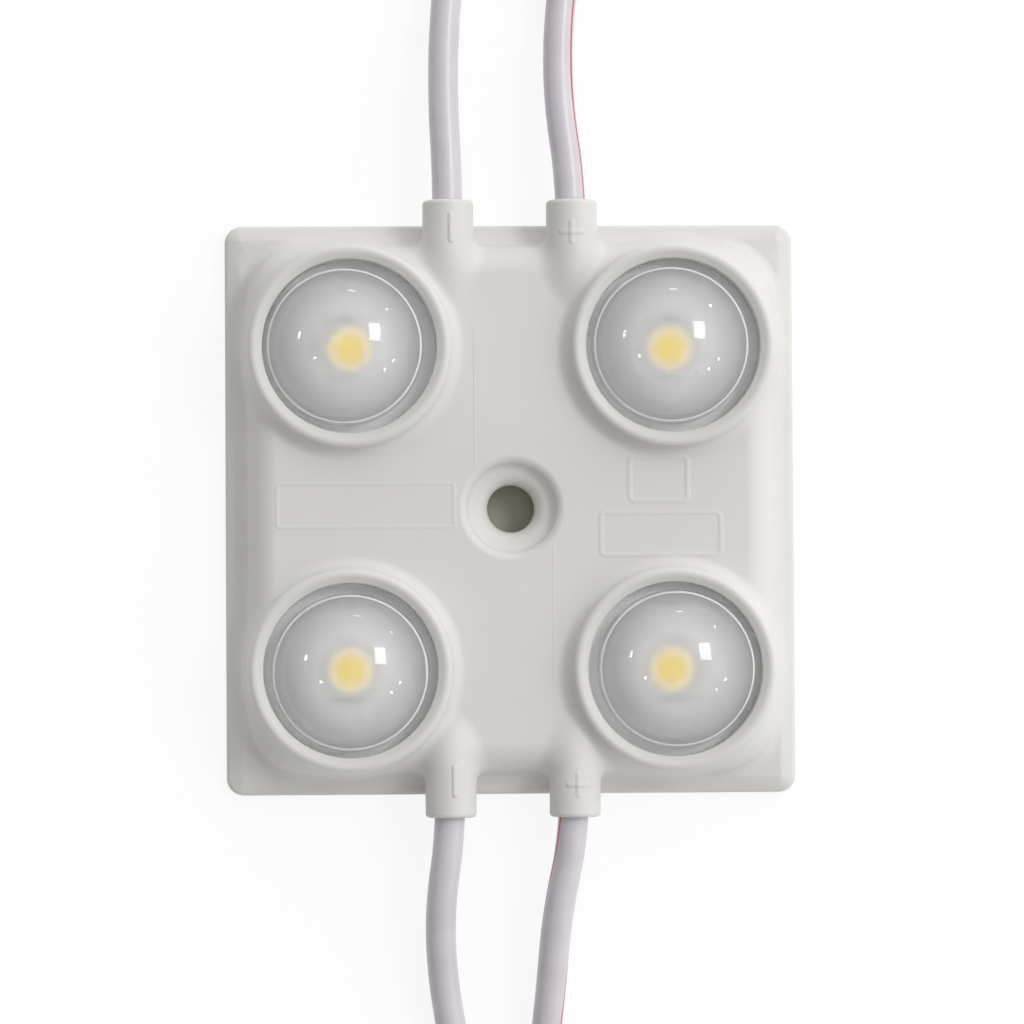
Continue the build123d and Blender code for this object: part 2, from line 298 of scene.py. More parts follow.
def two_part_material(name, middle, half_length, core):
    """A dark body with bright metal past half_length from its middle, along X."""
    material, tree, surface = new_material(name)
    spot = put(tree, "ShaderNodeSeparateXYZ", {"Vector": place(tree)}).outputs["X"]
    away = calculate(tree, "SUBTRACT", calculate(tree, "ABSOLUTE", spot), middle)
    from_middle = calculate(tree, "ABSOLUTE", away)
    at_end = between(tree, from_middle, half_length - 0.02 * mm, half_length + 0.02 * mm)
    skin = use_effect(tree, moulded, Grain_Size=0.04 * mm)
    bump = put(tree, "ShaderNodeBump", {"Height": skin["Grain"], "Distance": 0.003 * mm, "Strength": 1.0})
    fill(tree, surface, {
        "Base Color": blend_colours(tree, at_end, core, plated_ends),
        "Metallic": at_end,
        "Roughness": blend_values(tree, skin["Grain"], 0.25, 0.45),
        "Normal": bump.outputs["Normal"],
    })
    return material


chip_low, chip_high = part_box("resistor_2")
chip_cap = 0.5 * mm
chip_middle, chip_half, chip_top, chip_corner = (9.2, 1.5), (1.6, 0.8), 1.55, 0.02
diode_middle_y, diode_half, diode_top = 7.6, (1.35, 0.8), 2.1
chip_glaze = two_part_material(
    "glazed chip", (chip_low.x + chip_high.x) / 2, (chip_high.x - chip_low.x) / 2 - chip_cap,
    (0.02, 0.02, 0.025, 1))
diode_epoxy = two_part_material(
    "black epoxy with flat leads", 0.0, diode_half[0] * mm, (0.018, 0.018, 0.018, 1))

for number in range(1, 5):
    dress(f"resistor_{number}", chip_glaze)
dress("polarity_diode", diode_epoxy)


# Leads
# Four lengths of soft white wire, with a jacket over a twist of seven tinned strands, cut and
# stripped at the ends. They are soldered inside and leave through the glands. The right-hand
# pair has two fine red lines along the jacket, on opposite sides.

lead_radius = 0.95
conductor_radius = 0.45
gland_axis_height = 2.85
jacket_start = -3.5
strip_length = 5.0

# The points that steer each lead's way from its gland's mouth: sideways, ahead and height, in millimetres
lead_routes = [
    [(0.0, 1.2, gland_axis_height), (-0.27, 6.4, 2.25), (-0.14, 11.7, 1.35), (0.55, 17.7, lead_radius),
     (1.1, 25.4, lead_radius), (0.5, 33.3, lead_radius), (-1.9, 40.6, lead_radius),
     (-3.2, 47.7, lead_radius)],
    [(0.0, 0.9, gland_axis_height), (-0.80, 6.6, 2.25), (-0.66, 12.2, 1.35), (0.35, 18.3, lead_radius),
     (0.9, 26.0, lead_radius), (2.7, 33.4, lead_radius), (3.0, 41.2, lead_radius),
     (1.2, 48.4, lead_radius)],
    [(0.0, 0.8, gland_axis_height), (0.78, 6.0, 2.25), (0.46, 11.2, 1.35), (-0.75, 17.0, lead_radius),
     (-1.1, 24.7, lead_radius), (0.4, 32.2, lead_radius), (0.9, 40.0, lead_radius),
     (-0.9, 47.3, lead_radius)],
    [(0.0, 0.8, gland_axis_height), (1.17, 6.2, 2.25), (1.60, 11.7, 1.35), (2.35, 17.6, lead_radius),
     (1.9, 25.3, lead_radius), (-0.3, 32.6, lead_radius), (-1.2, 40.3, lead_radius),
     (-3.9, 47.2, lead_radius)],
]
corners = [(-1, 1), (1, 1), (-1, -1), (1, -1)]
gland_offset = 3.9
mouth_distance = 19.4


def from_gland(index, point):
    """A point in a gland's frame, in millimetres, as a place in the object's frame, in metres."""
    side, end = corners[index]
    sideways, ahead, height = point
    return Vector((side * gland_offset + end * sideways, end * (mouth_distance + ahead), height)) * mm


def points_on_spline(points):
    """Points along the smooth line that the route's points steer."""
    curve = bpy.data.curves.new("route", "CURVE")
    curve.dimensions = "3D"
    spline = curve.splines.new("NURBS")
    spline.points.add(len(points) - 1)
    for control, point in zip(spline.points, points):
        control.co = (*point, 1)
    spline.order_u = 3
    spline.use_endpoint_u = True
    spline.resolution_u = 12
    holder = bpy.data.objects.new("route", curve)
    bpy.context.scene.collection.objects.link(holder)
    line = bpy.data.meshes.new_from_object(holder)
    found = [vertex.co.copy() for vertex in line.vertices]
    bpy.data.objects.remove(holder)
    bpy.data.curves.remove(curve)
    bpy.data.meshes.remove(line)
    return found


def steady_frames(points):
    """At each point, a sideways and an upward direction, square to the line."""
    frames = []
    for i, point in enumerate(points):
        before, after = points[max(i - 1, 0)], points[min(i + 1, len(points) - 1)]
        along = (after - before).normalized()
        side = along.cross(Vector((0, 0, 1))).normalized()
        frames.append((side, side.cross(along)))
    return frames


def new_piece(name, vertices, faces, materials, face_materials=None):
    """A mesh object in the object's frame."""
    mesh = bpy.data.meshes.new(name)
    mesh.from_pydata([tuple(v) for v in vertices], [], faces)
    for material in materials:
        mesh.materials.append(material)
    if face_materials is not None:
        mesh.polygons.foreach_set("material_index", face_materials)
    mesh.polygons.foreach_set("use_smooth", [True] * len(mesh.polygons))
    mesh.update()
    piece = bpy.data.objects.new(name, mesh)
    bpy.context.scene.collection.objects.link(piece)
    return piece


def ring_faces(first, second, count):
    """The faces between two rings of vertices, given where each ring starts."""
    return [(first + k, first + (k + 1) % count, second + (k + 1) % count, second + k) for k in range(count)]


tube_sides = 40
bore_gap = 0.03


def circle(centre, side, up, radius, count):
    """Points round a circle, from its top towards its side."""
    turns = [2 * pi * k / count for k in range(count)]
    return [centre + (side * sin(turn) + up * cos(turn)) * radius for turn in turns]


def jacket_piece(index, points, material):
    """The jacket: a tube with its cut end open round the strands."""
    frames = steady_frames(points)
    bore_radius = (conductor_radius + bore_gap) * mm
    edge_rounding = 0.06 * mm
    bore_depth = 3
    last = len(points) - 1
    rings = [(i, lead_radius * mm) for i in range(last)]
    rings += [(last, lead_radius * mm - edge_rounding), (last, bore_radius + edge_rounding)]
    rings += [(last - depth, bore_radius) for depth in range(1, bore_depth)]
    vertices = []
    for i, radius in rings:
        vertices += circle(points[i], *frames[i], radius, tube_sides)
    faces = []
    for ring in range(len(rings) - 1):
        faces += ring_faces(ring * tube_sides, (ring + 1) * tube_sides, tube_sides)
    faces.append(tuple(reversed(range(tube_sides))))
    faces.append(tuple(range((len(rings) - 1) * tube_sides, len(rings) * tube_sides)))
    jacket = new_piece(f"lead_{index + 1}", vertices, faces, [material])
    return jacket, [ring[0] for ring in rings]


def mark_lines(jacket, ring_points, points, turns):
    """Stores how near each point of a jacket is to its coloured lines: 1 on a line."""
    start_turn, end_turn, turning_length = turns
    travelled = np.concatenate([[0], np.cumsum([(b - a).length for a, b in zip(points, points[1:])])])
    values = []
    for i in ring_points:
        share = min(travelled[i] / (turning_length * mm), 1.6)
        turn = radians(start_turn + (end_turn - start_turn) * share)
        values += [abs(cos(2 * pi * k / tube_sides - turn)) for k in range(tube_sides)]
    attribute = jacket.data.attributes.new("line_nearness", "FLOAT", "POINT")
    attribute.data.foreach_set("value", values)


def lead_plastic(name, lined):
    """Soft white plastic with a lavender tint and, where it is lined, two fine red lines."""
    material, tree, surface = new_material(name)
    skin = use_effect(tree, moulded, Grain_Size=0.08 * mm, Wave_Size=2.5 * mm)
    tone = between(tree, skin["Tone"], 0.3, 0.7)
    colour = blend_colours(tree, tone, (0.56, 0.53, 0.57, 1), (0.61, 0.58, 0.62, 1))
    if lined:
        nearness = put(tree, "ShaderNodeAttribute", attribute_name="line_nearness").outputs["Fac"]
        edge = calculate(tree, "ADD", nearness, calculate(tree, "MULTIPLY", skin["Grain"], 0.002))
        glow = between(tree, edge, cos(radians(11)), cos(radians(5)))
        line = between(tree, edge, cos(radians(6)), cos(radians(4)))
        colour = blend_colours(tree, glow, colour, (0.60, 0.33, 0.35, 1))
        colour = blend_colours(tree, line, colour, (0.46, 0.04, 0.06, 1))
    bump = put(tree, "ShaderNodeBump", {"Height": skin["Relief"], "Distance": 0.004 * mm, "Strength": 0.8})
    fill(tree, surface, {
        "Base Color": colour,
        "Roughness": blend_values(tree, skin["Grain"], 0.24, 0.36),
        "Normal": bump.outputs["Normal"],
    })
    return material


strand_sides = 10
strand_radius = conductor_radius / 3
strand_lay = 7.0
board_clearance = 0.05
slope_top_inset, slope_foot_inset, joint_inset = 1.1, 2.8, 4.1


def conductor_piece(index, points, material):
    """Seven strands, six of them twisted round the first, from the solder joint to the bare end."""
    frames = steady_frames(points)
    travelled = np.concatenate([[0], np.cumsum([(b - a).length for a, b in zip(points, points[1:])])])
    vertices, faces = [], []
    for strand in range(7):
        start = len(vertices)
        spread = 0 if strand == 0 else 2 * strand_radius * mm
        for (side, up), point, distance in zip(frames, points, travelled):
            turn = strand * pi / 3 + 2 * pi * distance / (strand_lay * mm)
            centre = point + (side * sin(turn) + up * cos(turn)) * spread
            vertices += circle(centre, side, up, strand_radius * mm, strand_sides)
        for ring in range(len(points) - 1):
            first = start + ring * strand_sides
            faces += ring_faces(first, first + strand_sides, strand_sides)
        faces.append(tuple(reversed(range(start, start + strand_sides))))
        faces.append(tuple(range(len(vertices) - strand_sides, len(vertices))))
    return new_piece(f"strands_{index + 1}", vertices, faces, [material])


def inner_conductor():
    """The conductor's way from its solder joint up to the jacket, in its gland's frame."""
    low = board_top + board_clearance + conductor_radius
    return [(0, jacket_start - joint_inset - conductor_radius, low),
            (0, jacket_start - slope_foot_inset, low),
            (0, jacket_start - slope_top_inset, gland_axis_height)]


white_lead = lead_plastic("white lead plastic", lined=False)
lined_lead = lead_plastic("red-lined lead plastic", lined=True)
tinned = metal("tinned copper", (0.62, 0.60, 0.57, 1), (0.80, 0.79, 0.76, 1), 0.32)

# Where a lead's red line lies round it: its turn from the top at the jacket's inner end, its turn
# further on, both in degrees, and how many millimetres further on that is
line_turns = {1: (70, 57, 13), 3: (45, 100, 13)}

for index, route in enumerate(lead_routes):
    number = index + 1
    lined = index in line_turns
    controls = [from_gland(index, point) for point in [(0, jacket_start, gland_axis_height)] + route]
    line = points_on_spline(controls)
    jacket, ring_points = jacket_piece(index, line, lined_lead if lined else white_lead)
    if lined:
        mark_lines(jacket, ring_points, line, line_turns[index])
    past_end = (controls[-1] - controls[-2]).normalized() * strip_length * mm
    inner = [from_gland(index, point) for point in inner_conductor()]
    strands = conductor_piece(index, points_on_spline(inner + controls + [controls[-1] + past_end]), tinned)
    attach(jacket, "root")
    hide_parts(f"lead_jacket_{number}")
    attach(strands, "root")
    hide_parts(f"conductor_{number}")


# Solder joints
# A small bright mound of tin solder on the board for each conductor, which holds it to the
# board's copper.

joint_radius = 1.0
solder = metal("solder", (0.62, 0.62, 0.63, 1), (0.80, 0.80, 0.80, 1), 0.28, relief=0.006)
for number in range(1, 5):
    dress(f"solder_joint_{number}", solder)


# Lenses
# Clear moulded domes that stand on the board, each with a frosted hollow over its light source.
# The body's collars hold them down by their flanges.

lens_segments = 144


def round_cap(radius, height, rise, steps):
    """Points of a round cap's profile from its rim up to the axis, as (radius, height)."""
    sphere = (radius * radius + rise * rise) / (2 * rise)
    centre = height + rise - sphere
    widest = asin(radius / sphere)
    return [(sphere * sin(widest * (1 - i / steps)), centre + sphere * cos(widest * (1 - i / steps)))
            for i in range(steps + 1)]


def eased(points, rounding, steps=4):
    """The same outline with each inner corner rounded."""
    result = [points[0]]
    for before, corner, after in zip(points, points[1:], points[2:]):
        corner = Vector(corner)
        arriving, leaving = Vector(before) - corner, Vector(after) - corner
        cut = min(rounding, arriving.length * 0.45, leaving.length * 0.45)
        start = corner + arriving.normalized() * cut
        stop = corner + leaving.normalized() * cut
        for i in range(steps + 1):
            t = i / steps
            result.append(tuple(start * (1 - t) ** 2 + corner * 2 * t * (1 - t) + stop * t ** 2))
    return result + [points[-1]]


def turned(name, profile, centre, materials, profile_materials):
    """Turns a profile of (radius, height) points, in millimetres, about a vertical line."""
    segments = lens_segments
    vertices, rings = [], []
    for radius, height in profile:
        if radius < 1e-6:
            rings.append([len(vertices)] * segments)
            vertices.append((centre[0], centre[1], height * mm))
        else:
            rings.append([len(vertices) + k for k in range(segments)])
            vertices += [(centre[0] + radius * mm * cos(2 * pi * k / segments),
                          centre[1] + radius * mm * sin(2 * pi * k / segments), height * mm)
                         for k in range(segments)]
    faces, indices = [], []
    for ring, (first, second) in enumerate(zip(rings, rings[1:])):
        for k in range(segments):
            corner_list = [first[k], first[(k + 1) % segments], second[(k + 1) % segments], second[k]]
            faces.append(tuple(dict.fromkeys(corner_list)))
            indices.append(profile_materials[ring])
    return new_piece(name, vertices, faces, materials, face_materials=indices)


def lens_plastic(name, clearness, roughness, relief, wave_size=3.0, dark=0.96):
    """Clear plastic with a share of milkiness."""
    material, tree, surface = new_material(name)
    skin = use_effect(tree, moulded, Grain_Size=0.05 * mm, Wave_Size=wave_size * mm)
    bump = put(tree, "ShaderNodeBump", {"Height": skin["Relief"], "Distance": relief * mm, "Strength": 1.0})
    tone = between(tree, skin["Tone"], 0.3, 0.7)
    fill(tree, surface, {
        "Base Color": blend_colours(tree, tone, (dark, dark, dark + 0.01, 1), (0.985, 0.985, 0.985, 1)),
        "Roughness": blend_values(tree, skin["Grain"], max(roughness - 0.02, 0.0), roughness + 0.02),
        "IOR": 1.49,
        "Transmission Weight": clearness,
        "Normal": bump.outputs["Normal"],
    })
    return material


lens_gap = 0.02
lens_flange_low, lens_flange_top = 2.6, 3.4
lens_foot_radius, lens_flange_radius = 5.1, 5.9
barrel_foot_radius, barrel_radius, barrel_top = 4.95, 4.85, 4.5
cavity_radius, cavity_rise = 3.7, 2.2
ledge_width, ledge_rise, lens_corner_round = 0.11, 0.02, 0.03

clear_plastic = lens_plastic("polished lens plastic", 0.82, 0.012, 0.0006)
frosted_plastic = lens_plastic("frosted lens plastic", 0.25, 0.35, 0.02, wave_size=0.2, dark=0.93)

# The hollow is milky up its wall and clears towards its crown, ring by ring
wall_clearness, crown_clearness = 0.28, 0.95
milky_below, clear_above = 2.75, 3.15
clearing_steps = 7
hollow_plastics = [
    lens_plastic(f"frosted hollow {step}",
                 wall_clearness + (crown_clearness - wall_clearness) * step / clearing_steps, 0.4, 0.006)
    for step in range(clearing_steps + 1)]


def clearing_step(first, second):
    """How far a strip of the hollow has cleared, in whole steps."""
    height = (first[1] + second[1]) / 2
    share = min(max((height - milky_below) / (clear_above - milky_below), 0), 1)
    return round(share * share * (3 - 2 * share) * clearing_steps)


def is_polished(first, second):
    """Whether a strip of the outside lies on the barrel or the dome. The rest is frosted."""
    low = min(first[1], second[1])
    in_opening = max(first[0], second[0]) < barrel_foot_radius + 0.03 and low >= lens_flange_top
    on_ledge = barrel_top - 0.01 < low < barrel_top + ledge_rise
    return in_opening and not on_ledge


def lens_piece(number):
    """One lens: from its hollow's crown down to the rim, round the foot and the flange, and up the dome."""
    low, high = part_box(f"lens_{number}")
    centre = ((low.x + high.x) / 2, (low.y + high.y) / 2)
    dome_rise = high.z / mm - barrel_top
    dome = round_cap(barrel_radius - ledge_width, barrel_top + ledge_rise, dome_rise - ledge_rise, 40)
    foot, side, rim = board_top + lens_gap, lens_foot_radius - lens_gap, lens_flange_radius - lens_gap
    hollow = round_cap(cavity_radius, foot, board_top + cavity_rise - foot, 24)[::-1]
    outside = eased([hollow[-1], (side, foot), (side, lens_flange_low + lens_gap),
                     (rim, lens_flange_low + lens_gap), (rim, lens_flange_top),
                     (barrel_foot_radius, lens_flange_top), (barrel_radius, barrel_top), dome[0]],
                    lens_corner_round)
    outside += dome[1:]
    materials = [2 + clearing_step(*strip) for strip in zip(hollow, hollow[1:])]
    materials += [0 if is_polished(*strip) else 1 for strip in zip(outside, outside[1:])]
    profile = hollow + outside[1:]
    plastics = [clear_plastic, frosted_plastic] + hollow_plastics
    return turned(f"clear_lens_{number}", profile, centre, plastics, materials)


for number in range(1, 5):
    lens = lens_piece(number)
    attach(lens, "root")
    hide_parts(f"lens_{number}")


# Moulded body
# One white plastic moulding, injected round the finished board: a low flange, a sloping deck,
# a collar round each lens, a recess for the screw's head, and a gland for each lead.

half_body, body_corner, flange_height = 18.0, 1.1, 1.3
flange_bevel_run, flange_bevel_fall = 0.95, 0.4
half_foot, foot_corner, deck_height, deck_draft = 16.7, 3.6, 3.7, radians(8)
collar_foot_radius, collar_draft = 6.85, radians(8)
collar_crest_radius, collar_height, collar_bevel = 6.31, 5.16, radians(28)
opening_radius = 5.45
screw_radius, recess_radius, recess_draft = 1.5, 2.88, radians(12)
flange_edge_round, deck_edge_round, foot_fillet = 0.25, 1.6, 0.7
collar_crest_round, opening_edge_round = 0.55, 0.07
gland_mouth_round, gland_flow = 0.25, 1.0
recess_edge_round, recess_fillet, hole_edge_round = 0.45, 0.3, 0.7
recess_floor_radius, recess_floor, recess_floor_angle = 2.71, 2.9, radians(16)
gland_radius, gland_barrel, nose_arc_radius = 1.6, 2.9, 5.6
half_board, board_corner, lining_radius = 15.5, 1.0, 2.4


def rounded_common(first, second, radius):
    """The distance from what two forms share, with a round along their meeting edge."""
    over_first = first + radius
    over_second = second + radius
    outside = np.hypot(np.maximum(over_first, 0), np.maximum(over_second, 0))
    return outside + np.minimum(np.maximum(over_first, over_second), 0) - radius


def rounded_join(first, second, radius):
    """The distance from two forms together, with a fillet between them."""
    return -rounded_common(-first, -second, radius)


def soft_join(first, second, blend):
    """The distance from two forms together, flowing into each other."""
    overlap = np.maximum(blend - np.abs(first - second), 0) / blend
    return np.minimum(first, second) - overlap * overlap * blend * 0.25


def rounded_square(x, y, half_x, half_y, corner):
    """Distance from a rectangle with rounded corners."""
    return rounded_common(np.abs(x) - half_x, np.abs(y) - half_y, corner)


def outer_form(x, y, z):
    """The body as seen from outside, without its openings. It is the same in all four quarters."""
    across, along = np.abs(x), np.abs(y)
    rim = rounded_square(x, y, half_body, half_body, body_corner)
    fall = atan2(flange_bevel_fall, flange_bevel_run)
    bevel = (z - flange_height + (rim + flange_bevel_run) * tan(fall)) * cos(fall)
    flange = rounded_common(rim, np.maximum(z - flange_height, bevel), flange_edge_round)
    side = rounded_square(x, y, half_foot, half_foot, foot_corner) + (z - flange_height) * tan(deck_draft)
    deck = rounded_common(side * cos(deck_draft), z - deck_height, deck_edge_round)
    body = rounded_join(flange, deck, foot_fillet)
    from_lens = np.hypot(across - half_pitch, along - half_pitch)
    wall = (from_lens - collar_foot_radius + (z - flange_height) * tan(collar_draft)) * cos(collar_draft)
    top = (z - collar_height + (collar_crest_radius - from_lens) * tan(collar_bevel)) * cos(collar_bevel)
    body = rounded_join(body, rounded_common(wall, top, collar_crest_round), foot_fillet)
    ahead = along - mouth_distance
    into_nose = np.maximum(-gland_barrel - ahead, 0)
    thinner = nose_arc_radius - np.sqrt(np.maximum(nose_arc_radius ** 2 - into_nose ** 2, 0))
    from_axis = np.hypot(across - gland_offset, z - gland_axis_height)
    gland = rounded_common(from_axis - gland_radius + thinner, ahead, gland_mouth_round)
    return soft_join(body, gland, gland_flow)


def from_segment(x, y, z, start, stop):
    """Distance from a straight line between two points."""
    (x0, y0, z0), (x1, y1, z1) = start, stop
    run = (x1 - x0, y1 - y0, z1 - z0)
    along = ((x - x0) * run[0] + (y - y0) * run[1] + (z - z0) * run[2]) / sum(c * c for c in run)
    along = np.clip(along, 0, 1)
    gap = (x - x0 - along * run[0], y - y0 - along * run[1], z - z0 - along * run[2])
    return np.sqrt(gap[0] ** 2 + gap[1] ** 2 + gap[2] ** 2)


def slab(z, low, high):
    """Distance from the space between two heights."""
    return np.maximum(low - z, z - high)


def inner_pockets(x, y, z):
    """What the board and everything on it fill."""
    across, along = np.abs(x), np.abs(y)
    from_middle = np.hypot(x, y)
    board = np.maximum(rounded_square(x, y, half_board, half_board, board_corner), z - board_top)
    pockets = np.maximum(board, lining_radius - from_middle)
    for number in range(1, 5):
        low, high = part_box(f"lens_{number}")
        from_lens = np.hypot(x - (low.x + high.x) / 2 / mm, y - (low.y + high.y) / 2 / mm)
        foot = np.maximum(from_lens - lens_foot_radius, slab(z, board_top, lens_flange_low))
        flange = np.maximum(from_lens - lens_flange_radius, slab(z, lens_flange_low, lens_flange_top))
        pockets = np.minimum(pockets, np.minimum(foot, flange))
    resistor = rounded_square(across - chip_middle[0], along - chip_middle[1], *chip_half, chip_corner)
    diode = rounded_square(x, y - diode_middle_y, *diode_half, chip_corner)
    pockets = np.minimum(pockets, np.maximum(resistor, slab(z, board_top, chip_top)))
    pockets = np.minimum(pockets, np.maximum(diode, slab(z, board_top, diode_top)))
    ahead = along - mouth_distance
    sideways = across - gland_offset
    wire_points = [(s, a, h) for s, a, h in inner_conductor()] + [(0, jacket_start, gland_axis_height)]
    for start, stop in zip(wire_points, wire_points[1:]):
        pockets = np.minimum(pockets, from_segment(sideways, ahead, z, start, stop) - conductor_radius)
    joint_middle = jacket_start - joint_inset
    joint = from_segment(sideways, ahead, z, (0, joint_middle, board_top), (0, joint_middle, 0))
    pockets = np.minimum(pockets, joint - joint_radius)
    jacket = np.maximum(np.hypot(sideways, z - gland_axis_height) - lead_radius, jacket_start - ahead)
    return np.minimum(pockets, jacket)


def screw_recess(x, y, z):
    """The hole and the recess for the screw's head."""
    from_middle = np.hypot(x, y)
    wall = (from_middle - recess_radius + (deck_height - z) * tan(recess_draft)) * cos(recess_draft)
    floor = recess_floor - (recess_floor_radius - from_middle) * tan(recess_floor_angle)
    recess = rounded_common(wall, (floor - z) * cos(recess_floor_angle), recess_fillet)
    return rounded_join(recess, from_middle - screw_radius, hole_edge_round)


def body_distance(x, y, z):
    """How far a point is outside the body's surface, in millimetres."""
    body = rounded_common(outer_form(x, y, z), -screw_recess(x, y, z), recess_edge_round)
    from_opening = np.hypot(np.abs(x) - half_pitch, np.abs(y) - half_pitch)
    opening = np.maximum(from_opening - opening_radius, lens_flange_top - z)
    body = rounded_common(body, -opening, opening_edge_round)
    return np.maximum(np.maximum(body, -z), -inner_pockets(x, y, z))


def surface_of(distance, low, high, step):
    """A mesh of quads on the surface where a distance is zero."""
    axes = [np.arange(a, b + step, step) for a, b in zip(low, high)]
    field = distance(axes[0][:, None, None], axes[1][None, :, None], axes[2][None, None, :])
    inside = np.broadcast_to(field, [len(a) for a in axes]) < 0
    count = sum(inside[i:len(axes[0]) - 1 + i, j:len(axes[1]) - 1 + j, k:len(axes[2]) - 1 + k].astype(np.int8)
                for i in (0, 1) for j in (0, 1) for k in (0, 1))
    crossed = (count > 0) & (count < 8)
    numbers = np.full(crossed.shape, -1, np.int64)
    numbers[crossed] = np.arange(crossed.sum())
    cells = np.argwhere(crossed)
    points = np.array([a[0] for a in axes]) + (cells + 0.5) * step
    quads = []
    for axis in range(3):
        first = np.moveaxis(inside, axis, 0)
        change = np.argwhere(first[1:] != first[:-1])
        starts_inside = first[:-1][tuple(change.T)]
        others = [a for a in range(3) if a != axis]
        spots = np.empty_like(change)
        spots[:, axis], spots[:, others[0]], spots[:, others[1]] = change.T
        steps = [(0, 0), (-1, 0), (-1, -1), (0, -1)]
        ring = []
        for a, b in steps:
            moved = spots.copy()
            moved[:, others[0]] += a
            moved[:, others[1]] += b
            ring.append(numbers[tuple(moved.T)])
        ring = np.stack(ring, axis=1)
        backwards = starts_inside if axis == 1 else ~starts_inside
        ring[backwards] = ring[backwards][:, ::-1]
        quads.append(ring)
    return points, np.concatenate(quads)


def slope_of(distance, points, reach=0.01):
    """The direction in which a distance grows, at each point."""
    slope = np.empty_like(points)
    for axis in range(3):
        step = np.zeros(3)
        step[axis] = reach
        slope[:, axis] = distance(*(points + step).T) - distance(*(points - step).T)
    return slope / (2 * reach)


def settle(distance, points, rounds, furthest):
    """Moves points straight onto the surface."""
    for _ in range(rounds):
        slope = slope_of(distance, points)
        gap = distance(*points.T) / np.maximum((slope * slope).sum(axis=1), 0.2)
        move = slope * gap[:, None]
        length = np.maximum(np.linalg.norm(move, axis=1), 1e-9)
        points = points - move * np.minimum(1, furthest / length)[:, None]
    return points


search_low, search_high = (-18.5, -19.9, -0.35), (18.5, 19.9, 5.15)
most_triangles = 180000


def body_piece(material):
    """The body's mesh, found on a grid, thinned out where it is flat and laid back on the form."""
    step = 0.1
    points, quads = surface_of(body_distance, search_low, search_high, step)
    points = settle(body_distance, points, 4, step)
    mesh = bpy.data.meshes.new("body")
    mesh.from_pydata(points.tolist(), [], quads.tolist())
    draft = bpy.data.objects.new("body_draft", mesh)
    bpy.context.scene.collection.objects.link(draft)
    thin = draft.modifiers.new("thin out", "DECIMATE")
    thin.ratio = min(1, most_triangles / (2 * len(quads)))
    seen = draft.evaluated_get(bpy.context.evaluated_depsgraph_get())
    result = bpy.data.meshes.new_from_object(seen)
    bpy.data.objects.remove(draft)
    flat = np.empty(len(result.vertices) * 3)
    result.vertices.foreach_get("co", flat)
    spots = settle(body_distance, flat.reshape(-1, 3), 2, step)
    normals = slope_of(body_distance, spots)
    normals /= np.maximum(np.linalg.norm(normals, axis=1), 1e-9)[:, None]
    result.vertices.foreach_set("co", (spots * mm).ravel())
    result.polygons.foreach_set("use_smooth", [True] * len(result.polygons))
    result.normals_split_custom_set_from_vertices(normals.tolist())
    result.materials.clear()
    result.materials.append(material)
    result.update()
    print("body:", len(result.vertices), "vertices,", len(result.polygons), "faces")
    body = bpy.data.objects.new("moulded_body", result)
    bpy.context.scene.collection.objects.link(body)
    return body


def raised_line():
    """A low line round a box with rounded corners, seen from above. A box with no width is a bar."""
    tree, start, end = effect_group(
        "raised line",
        [("Middle X", "NodeSocketFloat", 0.0), ("Middle Y", "NodeSocketFloat", 0.0),
         ("Half X", "NodeSocketFloat", 0.001), ("Half Y", "NodeSocketFloat", 0.001),
         ("Corner", "NodeSocketFloat", 0.0), ("Line Width", "NodeSocketFloat", 0.0002)],
        [("Height", "NodeSocketFloat")])
    spot = put(tree, "ShaderNodeSeparateXYZ", {"Vector": place(tree)}).outputs
    over = []
    for axis in "XY":
        away = calculate(tree, "ABSOLUTE", calculate(tree, "SUBTRACT", spot[axis], start[f"Middle {axis}"]))
        inner = calculate(tree, "SUBTRACT", start[f"Half {axis}"], start["Corner"])
        over.append(calculate(tree, "SUBTRACT", away, inner))
    reach = [calculate(tree, "POWER", calculate(tree, "MAXIMUM", value, 0.0), 2.0) for value in over]
    outside = calculate(tree, "SQRT", calculate(tree, "ADD", *reach))
    inside = calculate(tree, "MINIMUM", calculate(tree, "MAXIMUM", *over), 0.0)
    distance = calculate(tree, "SUBTRACT", calculate(tree, "ADD", outside, inside), start["Corner"])
    share = calculate(tree, "DIVIDE", calculate(tree, "ABSOLUTE", distance), start["Line Width"])
    fill(tree, end, {"Height": calculate(tree, "SUBTRACT", 1.0, between(tree, share, 0.15, 0.85))})
    return tree


# Lines and marks on the body's face, in millimetres: middle, half sizes, corner, line width, height.
# Empty label frames, the lines that the mould's inserts leave, and the marks on the glands:
# a bar for minus on the left, a cross for plus on the right.
frames_and_lines = [
    ((9.24, 1.77), (1.82, 1.35), 0.3, 0.26, 0.03), ((9.36, -1.65), (3.76, 1.32), 0.3, 0.26, 0.03),
    ((-9.17, 0.20), (5.55, 1.35), 0.2, 0.20, 0.02),
    ((-2.30, 6.9), (0, 4.4), 0, 0.08, 0.015), ((2.60, -6.8), (0, 4.3), 0, 0.08, 0.015),
    ((-3.74, 17.6), (0, 0.78), 0, 0.30, 0.07), ((-3.67, -17.1), (0, 0.84), 0, 0.30, 0.07),
]
for middle in ((3.84, 17.31), (4.05, -17.35)):
    frames_and_lines += [(middle, (0.62, 0), 0, 0.30, 0.05), (middle, (0, 0.62), 0, 0.30, 0.05)]


